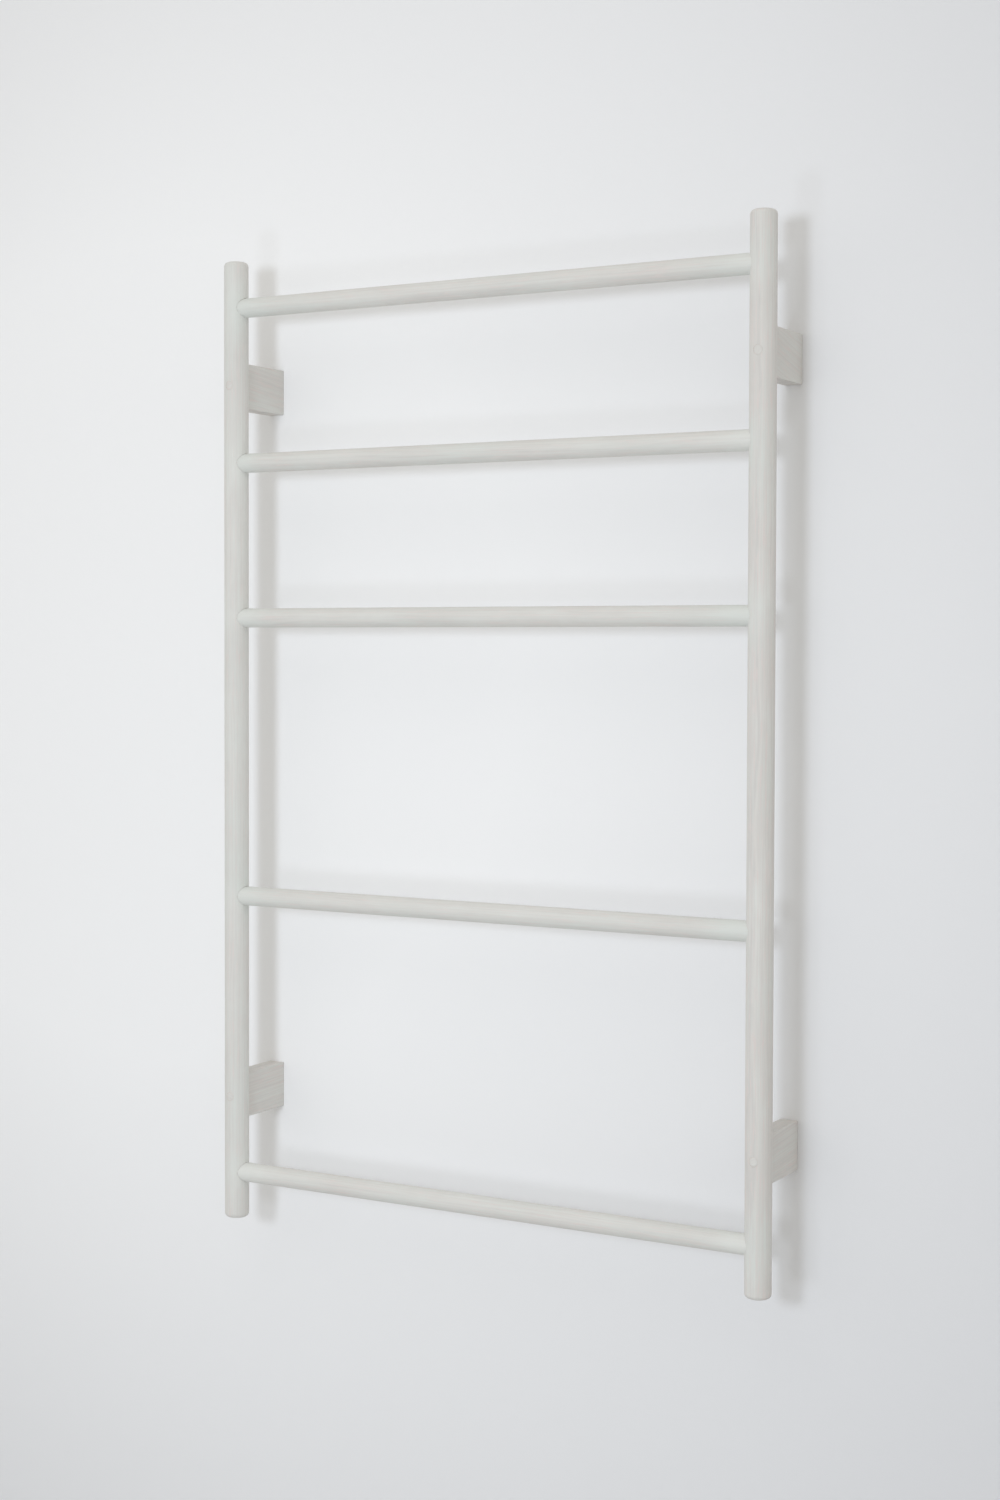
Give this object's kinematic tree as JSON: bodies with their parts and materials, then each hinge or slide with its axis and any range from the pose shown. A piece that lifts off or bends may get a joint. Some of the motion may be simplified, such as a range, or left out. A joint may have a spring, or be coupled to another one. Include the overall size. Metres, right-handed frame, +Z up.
{
  "type": "wall-mounted towel ladder",
  "caption": "Passive wall-mounted towel ladder of pale painted wood: round uprights and round rungs, held off the wall by rectangular blocks.",
  "frame": {"origin": "on the wall face, at the centre of the four wall fixings", "axes": "+X along the wall to the right as the rack is looked at, +Y into the wall, +Z up along the uprights"},
  "size_m": [0.68, 0.139, 1.1],
  "materials": {
    "painted_wood": "thin matt pale grey paint on turned and sawn wood, with the grain showing through",
    "bare_wood": "unpainted beech",
    "zinc_steel": "bright zinc plate"
  },
  "bodies": {
    "root": {"upright_left": "painted_wood", "upright_right": "painted_wood", "rung_1": "painted_wood", "rung_2": "painted_wood", "rung_3": "painted_wood", "rung_4": "painted_wood", "rung_5": "painted_wood", "bracket_upper_left": "painted_wood", "bracket_upper_right": "painted_wood", "bracket_lower_left": "painted_wood", "bracket_lower_right": "painted_wood", "screw_plug_upper_left": "painted_wood", "screw_plug_upper_right": "painted_wood", "screw_plug_lower_left": "painted_wood", "screw_plug_lower_right": "painted_wood", "bracket_dowels_upper_left": "bare_wood", "bracket_dowels_upper_right": "bare_wood", "bracket_dowels_lower_left": "bare_wood", "bracket_dowels_lower_right": "bare_wood", "bracket_screw_upper_left": "zinc_steel", "bracket_screw_upper_right": "zinc_steel", "bracket_screw_lower_left": "zinc_steel", "bracket_screw_lower_right": "zinc_steel", "hanger_plate_upper_left": "zinc_steel", "hanger_plate_upper_right": "zinc_steel", "hanger_plate_lower_left": "zinc_steel", "hanger_plate_lower_right": "zinc_steel", "plate_screws_upper_left": "zinc_steel", "plate_screws_upper_right": "zinc_steel", "plate_screws_lower_left": "zinc_steel", "plate_screws_lower_right": "zinc_steel", "wall_screw_upper_left": "zinc_steel", "wall_screw_upper_right": "zinc_steel", "wall_screw_lower_left": "zinc_steel", "wall_screw_lower_right": "zinc_steel"}
  },
  "joints": []
}
